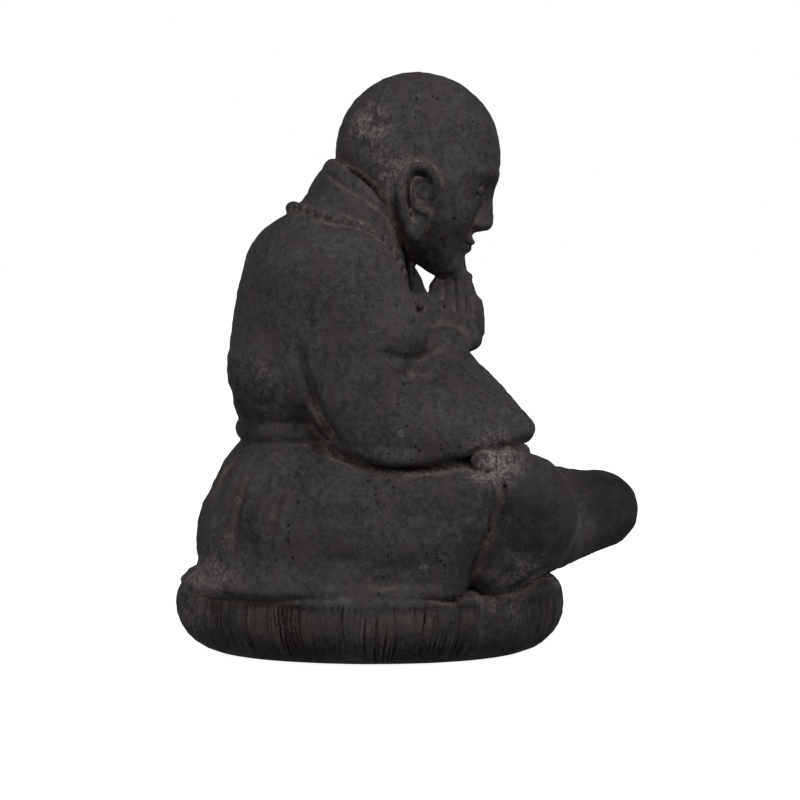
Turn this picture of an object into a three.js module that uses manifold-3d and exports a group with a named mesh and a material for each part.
// A garden statue of a young monk, cast in one piece in dark volcanic stone.
// The monk sits with crossed legs on an oval straw cushion, head bowed, palms together before the chin.
// Millimetres, +Z up. The origin is the middle of the cushion's flat underside, and the monk faces -Y.
import * as THREE from "three";
import { ConvexGeometry } from "three/addons/geometries/ConvexGeometry.js";
import { mergeVertices } from "three/addons/utils/BufferGeometryUtils.js";
import Module from "manifold-3d";

const wasm = await Module();
wasm.setup();

// Driving dimensions
const FIGURE_HEIGHT = 367; // from the top of the cushion to the crown
const CUSHION_LENGTH = 287.6;
const CUSHION_WIDTH = 280;
const CUSHION_HEIGHT = 55;
const CUSHION_UNDERCUT = 38; // how far the foot stands in from the widest line
const CUSHION_SHOULDER = 20; // how far the top edge is rounded in
const BEAD_DIAMETER = 8.6;
const BEADS_PER_SIDE = 17;
const COLLAR_WIDTH = 22;
const COLLAR_THICKNESS = 11;
const SASH_WIDTH = 16;
const SASH_PROUD = 3.5; // how far the sash stands out of the waist

// The pose below is drawn for a figure this tall, on a cushion this high, and scales with FIGURE_HEIGHT.
const DRAWN_HEIGHT = 367;
const DRAWN_SEAT = 55;
const SHARE = FIGURE_HEIGHT / DRAWN_HEIGHT;
const HEAD_BOW = THREE.MathUtils.degToRad(20);
const SKULL = [0, -35, 362];

const FINE = 3; // icosahedron detail of the large masses
const PLAIN = 2;
const SMALL = 1;
const LARGE_BALL = 27; // balls over this drawn radius get the plain detail, and smaller ones the small

// A drawn point of the pose, in the part's frame
function at([x, y, z]) {
  return new THREE.Vector3(x * SHARE, y * SHARE, (z - DRAWN_SEAT) * SHARE + CUSHION_HEIGHT);
}

// A drawn point given from the middle of the skull: to the side, out of the face and up the face
function onHead(side, out, up) {
  return [
    side,
    SKULL[1] - out * Math.cos(HEAD_BOW) - up * Math.sin(HEAD_BOW),
    SKULL[2] - out * Math.sin(HEAD_BOW) + up * Math.cos(HEAD_BOW),
  ];
}

function solid(geometry) {
  const bare = geometry.clone();
  bare.deleteAttribute("normal");
  bare.deleteAttribute("uv");
  const merged = mergeVertices(bare, 1e-4);
  return new wasm.Manifold(
    new wasm.Mesh({
      numProp: 3,
      vertProperties: new Float32Array(merged.attributes.position.array),
      triVerts: new Uint32Array(merged.index.array),
    }),
  );
}

function union(solids) {
  return solids.reduce((whole, piece) => whole.add(piece));
}

// An ellipsoid about a drawn point, turned about the X axis by lean
function ellipsoid(centre, radii, lean = 0, detail = FINE) {
  const geometry = new THREE.IcosahedronGeometry(1, detail);
  geometry.scale(...radii.map((r) => r * SHARE));
  geometry.rotateX(lean);
  geometry.translate(...at(centre).toArray());
  return solid(geometry);
}

// The skin stretched over balls, each one [x, y, z, radius]
function stretched(balls) {
  const points = [];
  for (const [x, y, z, radius] of balls) {
    const detail = radius > LARGE_BALL ? PLAIN : SMALL;
    const ball = new THREE.IcosahedronGeometry(radius * SHARE, detail).attributes.position;
    const centre = at([x, y, z]);
    for (let i = 0; i < ball.count; i++) {
      points.push(new THREE.Vector3().fromBufferAttribute(ball, i).add(centre));
    }
  }
  return solid(new ConvexGeometry(points));
}

// A closed skin over rings of points, with a fan at each end
function skin(rings) {
  const around = rings[0].length;
  const points = rings.flat();
  const index = [];
  for (let r = 0; r + 1 < rings.length; r++)
    for (let i = 0; i < around; i++) {
      const a = r * around + i;
      const b = r * around + ((i + 1) % around);
      index.push(a, b, b + around, a, b + around, a + around);
    }
  for (const [first, flip] of [[0, true], [(rings.length - 1) * around, false]]) {
    const middle = points.length;
    const ring = points.slice(first, first + around);
    points.push(ring.reduce((sum, p) => sum.clone().add(p), new THREE.Vector3()).divideScalar(around));
    for (let i = 0; i < around; i++) {
      const a = first + i;
      const b = first + ((i + 1) % around);
      index.push(...(flip ? [b, a, middle] : [a, b, middle]));
    }
  }
  const facing = (order) => solid(new THREE.BufferGeometry().setFromPoints(points).setIndex(order));
  const made = facing(index);
  return made.volume() > 0 ? made : facing(index.reverse());
}

// A rounded strand along drawn points [x, y, z, radius], flattened along its normal side by flat
function strand(points, { sides = 8, steps = 3, flat = 1, outward = null } = {}) {
  const curve = new THREE.CatmullRomCurve3(points.map((p) => at(p)));
  const radii = new THREE.CatmullRomCurve3(points.map((p) => new THREE.Vector3(p[3] * SHARE, 0, 0)));
  const rings = [];
  const count = steps * (points.length - 1);
  const endReach = 0.8; // each end is closed this share of the radius further on
  const endShare = 0.6; // by a ring this much smaller
  const ring = (share, pull, swell) => {
    const place = curve.getPoint(share);
    const along = curve.getTangent(share);
    const middle = outward ? place.clone().sub(at(outward)) : new THREE.Vector3(1, 0.3, 0.2);
    const out = middle.addScaledVector(along, -middle.dot(along)).normalize();
    const across = new THREE.Vector3().crossVectors(along, out);
    const radius = radii.getPoint(share).x;
    place.addScaledVector(along, pull * radius);
    return Array.from({ length: sides }, (_, i) => {
      const angle = (2 * Math.PI * i) / sides;
      return place
        .clone()
        .addScaledVector(across, Math.cos(angle) * radius * swell)
        .addScaledVector(out, Math.sin(angle) * radius * swell * flat);
    });
  };
  rings.push(ring(0, -endReach, endShare));
  for (let i = 0; i <= count; i++) rings.push(ring(i / count, 0, 1));
  rings.push(ring(1, endReach, endShare));
  return skin(rings);
}

const bothSides = (make) => [make(-1), make(1)];

// A flattened oval ring in plan: rounder corners than an ellipse
function oval(halfWidth, back, front, z, squareness, around) {
  return Array.from({ length: around }, (_, i) => {
    const angle = (2 * Math.PI * i) / around;
    const power = 2 / squareness;
    const x = Math.sign(Math.cos(angle)) * Math.abs(Math.cos(angle)) ** power;
    const y = Math.sign(Math.sin(angle)) * Math.abs(Math.sin(angle)) ** power;
    return new THREE.Vector3(x * halfWidth, (back + front) / 2 + (y * (back - front)) / 2, z);
  });
}

function cushion() {
  const around = 44;
  const bulge = 0.6; // share of the height where the cushion is widest
  const below = 5;
  const above = 4;
  const rings = [];
  const squareness = 2.1;
  const push = (inset, z) => {
    const back = CUSHION_LENGTH / 2 - inset;
    rings.push(oval(CUSHION_WIDTH / 2 - inset, back, -back, z, squareness, around));
  };
  for (let i = 0; i < below; i++) {
    const turn = (i / below) * (Math.PI / 2);
    push(CUSHION_UNDERCUT * (1 - Math.sin(turn)), CUSHION_HEIGHT * bulge * (1 - Math.cos(turn)));
  }
  for (let i = 0; i <= above; i++) {
    const turn = (i / above) * (Math.PI / 2);
    push(CUSHION_SHOULDER * (1 - Math.cos(turn)), CUSHION_HEIGHT * (bulge + (1 - bulge) * Math.sin(turn)));
  }
  return skin(rings);
}

// The skirt of the robe, from its pooled hem to the waist: [z, half width, back, front]
function skirt() {
  const around = 42;
  const folds = 4; // shallow folds that fan down each side of the back
  const foldDepth = 2.6;
  const foldLean = 22; // rise over which a fold turns by one radian
  const squareness = 2.35;
  const levels = [
    [44, 128, 135, -58], [50, 134, 139, -60], [58, 130, 131, -62], [68, 126, 124, -64], [96, 124, 123, -66],
    [120, 117, 116, -62], [137, 106, 106, -52], [147, 92, 98, -42], [158, 84, 92, -30],
  ];
  const rings = levels.map(([z, halfWidth, back, front], level) =>
    oval(halfWidth, back, front, z, squareness, around).map((p) => {
      const angle = Math.atan2(p.y - 30, p.x);
      const share = Math.sin((Math.PI * level) / (levels.length - 1));
      const behind = Math.max(0, Math.sin(angle));
      const fold = foldDepth * share * behind * Math.cos(2 * folds * angle + z / foldLean);
      return at([p.x + Math.cos(angle) * fold, p.y + Math.sin(angle) * fold, z]);
    }),
  );
  return skin(rings);
}

// A band round the waist, a little proud of the skirt's top
function sash() {
  const around = 36;
  const squareness = 2.3;
  const middle = at([0, 0, 159]).z;
  const ring = (proud, z) =>
    oval(88 * SHARE + proud, 97 * SHARE + proud, -34 * SHARE - proud, z, squareness, around);
  return skin([
    ring(0, middle - SASH_WIDTH / 2),
    ring(SASH_PROUD, middle - SASH_WIDTH / 4),
    ring(SASH_PROUD, middle + SASH_WIDTH / 4),
    ring(0, middle + SASH_WIDTH / 2),
  ]);
}

function torso() {
  return union([
    stretched([
      [-30, 42, 260, 57], [30, 42, 260, 57], [-38, 42, 206, 59], [38, 42, 206, 59], [0, 48, 186, 52],
    ]),
    stretched([[-58, 26, 262, 44], [58, 26, 262, 44], [-62, 30, 206, 44], [62, 30, 206, 44]]),
    stretched([[-20, 4, 240, 34], [20, 4, 240, 34], [-24, -6, 180, 42], [24, -6, 180, 42]]),
    stretched([[0, 18, 318, 36], [-26, 22, 286, 42], [26, 22, 286, 42]]),
    stretched([[-14, -24, 240, 22], [14, -24, 240, 22], [0, -46, 246, 13], [0, -46, 222, 16]]),
    stretched([
      [-40, -10, 150, 44], [40, -10, 150, 44], [-40, -40, 112, 40], [40, -40, 112, 40], [0, 20, 110, 40],
    ]),
  ]);
}

function arm(side) {
  const back = side > 0 ? 20 : 0; // the left sleeve falls this much further back than the right
  return union([
    stretched([[side * 62, 12, 268, 39], [side * 76, -8, 228, 38], [side * 86, 2, 182, 35]]),
    stretched([[side * 78, -16, 196, 30], [side * 17, -60, 222, 15]]),
    stretched([
      [side * 84, -4, 186, 32], [side * 98, 0, 162, 19], [side * 105, -50, 160, 18],
      [side * 98, back / 2 - 84, 163, 14], [side * 87, back - 112, 168, 11], [side * 24, -62, 214, 13],
      [side * 48, back - 88, 178, 12], [side * 60, -30, 178, 22],
    ]),
    strand(
      [
        [side * 104, 8, 152, 5], [side * 115, -30, 148.5, 6], [side * 111, back / 2 - 72, 151, 6],
        [side * 89, back - 114, 162, 6.5],
      ],
      { sides: 6, steps: 2 },
    ),
  ]);
}

// The skirt over a thigh: its front edge stands as a step behind the bare knee
function thigh(side, reach) {
  const lip = 7;
  return stretched([
    [side * 74, 30, 98, 50], [side * 101, 20, 72, 26],
    [side * 116, -91 - reach, 124, lip], [side * 118, -71 - reach, 58, lip],
    [side * 84, -91 - reach, 138, lip], [side * 62, -71 - reach, 58, lip],
  ]);
}

function legs() {
  return union([
    thigh(-1, 0),
    thigh(1, 14),
    ellipsoid([-92, -112, 103], [35, 42, 44], 0, PLAIN),
    stretched([[-86, -112, 90, 33], [-98, -96, 70, 21], [-30, -104, 76, 25], [30, -92, 72, 18]]),
    ellipsoid([95, -165, 94], [31, 32, 30], 0, PLAIN),
    stretched([[92, -150, 94, 30], [80, -80, 96, 34]]),
    stretched([[93, -160, 91, 27], [14, -128, 77, 22], [-28, -116, 68, 16]]),
    stretched([[-28, -116, 66, 13], [-58, -112, 64, 9]]),
  ]);
}

function hand(side) {
  const fingers = [
    // foot of the finger, then its tip
    [[-66, 238], [-62, 274]],
    [[-71, 238], [-67.5, 276]],
    [[-76, 236], [-73.5, 271]],
    [[-80, 232], [-79.5, 257]],
  ];
  const palm = stretched([
    [side * 8.4, -63, 222, 9], [side * 7.3, -73, 226, 8], [side * 3.7, -62, 262, 4],
    [side * 3.7, -74, 258, 4], [side * 3.7, -79, 246, 4],
  ]);
  const strands = fingers.map(([foot, tip]) =>
    strand([[side * 7, foot[0], foot[1], 4.4], [side * 3.5, tip[0], tip[1], 3.8]], { sides: 6, steps: 1 }),
  );
  const thumb = strand([[side * 8, -58, 226, 5], [side * 4.5, -55, 261, 4.2]], { sides: 6, steps: 2 });
  return union([palm, thumb, ...strands]);
}

function face() {
  return union([
    stretched([
      [...onHead(-24, 24, -34), 25], [...onHead(24, 24, -34), 25], [...onHead(-10, 38, -68), 12],
      [...onHead(10, 38, -68), 12], [...onHead(-29, 4, -50), 16], [...onHead(29, 4, -50), 16],
      [...onHead(0, 43, -50), 15], [...onHead(-14, 46, -4), 14], [...onHead(14, 46, -4), 14],
    ]),
    stretched([[...onHead(0, 57, -8), 4], [...onHead(0, 65, -32), 5.5], [...onHead(0, 52, -30), 8]]),
    strand(
      [[...onHead(-10, 56, -52), 2], [...onHead(0, 60, -51), 3.4], [...onHead(10, 56, -52), 2]],
      { sides: 6 },
    ),
    ...bothSides((s) =>
      strand(
        [[...onHead(s * 5, 59, 2), 2.5], [...onHead(s * 20, 55, 6), 3], [...onHead(s * 36, 40, 0), 2]],
        { sides: 6 },
      ),
    ),
  ]);
}

// A long ear: the rim as one strand round the bowl, with a hanging lobe
function ear(side) {
  const rim = [
    [50, -46, 326, 2.6], [52, -49, 338, 3.2], [54, -42, 348, 3.6], [55, -31, 347, 3.8], [54, -25, 334, 3.8],
    [52, -26, 318, 3.8], [49, -30, 304, 4.4],
  ];
  return union([
    strand(rim.map(([x, y, z, r]) => [side * x, y, z, r]), { sides: 6, steps: 1 }),
    ellipsoid([side * 47, -35, 326], [7, 11, 19], 0, SMALL),
    stretched([[side * 47, -34, 306, 6], [side * 46, -38, 316, 6]]),
  ]);
}

// Half of the collar's line from the nape to the breast, and the beads' line just outside it
const COLLAR_LINE = [
  [0, 33, 344], [32, 26, 334], [46, 4, 316], [40, -16, 292], [20, -24, 266], [0, -26, 246],
];
const BEAD_LINE = [
  [0, 60, 325], [24, 56, 323], [48, 38, 318], [63, 14, 310], [64, -8, 297], [52, -25, 280],
  [36, -40, 260], [19, -52, 244],
];

function collar() {
  const radius = COLLAR_WIDTH / 2 / SHARE;
  return union(
    bothSides((s) =>
      strand(COLLAR_LINE.map(([x, y, z]) => [s * x, y, z, radius]), {
        sides: 6,
        steps: 2,
        flat: COLLAR_THICKNESS / COLLAR_WIDTH,
        outward: [0, 6, 290],
      }),
    ),
  );
}

// The bead string lies on the robe: each bead is dropped inwards onto the figure until it rests
function beads(figure) {
  const ground = meshOf(figure, "figure", new THREE.MeshBasicMaterial());
  const middle = at([0, 8, 290]);
  const drop = 16 * SHARE; // how far out from its line each bead starts
  const seated = 0.22; // share of a bead's width that its middle stands off the robe
  const made = [];
  for (const side of [-1, 1]) {
    const line = new THREE.CatmullRomCurve3(BEAD_LINE.map(([x, y, z]) => at([side * x, y, z])));
    for (let i = side < 0 ? 0 : 1; i < BEADS_PER_SIDE; i++) {
      const place = line.getPointAt(i / (BEADS_PER_SIDE - 1));
      const inward = middle.clone().sub(place).normalize();
      const start = place.clone().addScaledVector(inward, -drop);
      const [hit] = new THREE.Raycaster(start, inward).intersectObject(ground);
      const bead = new THREE.IcosahedronGeometry(BEAD_DIAMETER / 2, 0);
      bead.translate(...hit.point.addScaledVector(inward, -seated * BEAD_DIAMETER).toArray());
      made.push(solid(bead));
    }
  }
  return union(made);
}

const figure = union([
  cushion(),
  skirt(),
  sash(),
  torso(),
  ...bothSides(arm),
  legs(),
  ...bothSides(hand),
  ellipsoid(SKULL, [51, 61, 59], HEAD_BOW),
  stretched([[0, -8, 330, 34], [0, 14, 300, 38]]),
  face(),
  ...bothSides(ear),
  collar(),
]);

function meshOf(made, name, material) {
  const { numProp, vertProperties, triVerts, numVert } = made.getMesh();
  const positions = new Float32Array(numVert * 3);
  for (let i = 0; i < numVert; i++)
    for (let axis = 0; axis < 3; axis++) positions[i * 3 + axis] = vertProperties[i * numProp + axis];
  const geometry = new THREE.BufferGeometry()
    .setAttribute("position", new THREE.BufferAttribute(positions, 3))
    .setIndex(new THREE.BufferAttribute(triVerts, 1));
  geometry.computeVertexNormals();
  const mesh = new THREE.Mesh(geometry, material);
  mesh.name = name;
  return mesh;
}

const stone = new THREE.MeshStandardMaterial({ color: 0x2c2b2b, roughness: 0.85, metalness: 0 });
const part = new THREE.Group();
part.add(meshOf(figure.add(beads(figure)), "monk_statue", stone));
export default part;
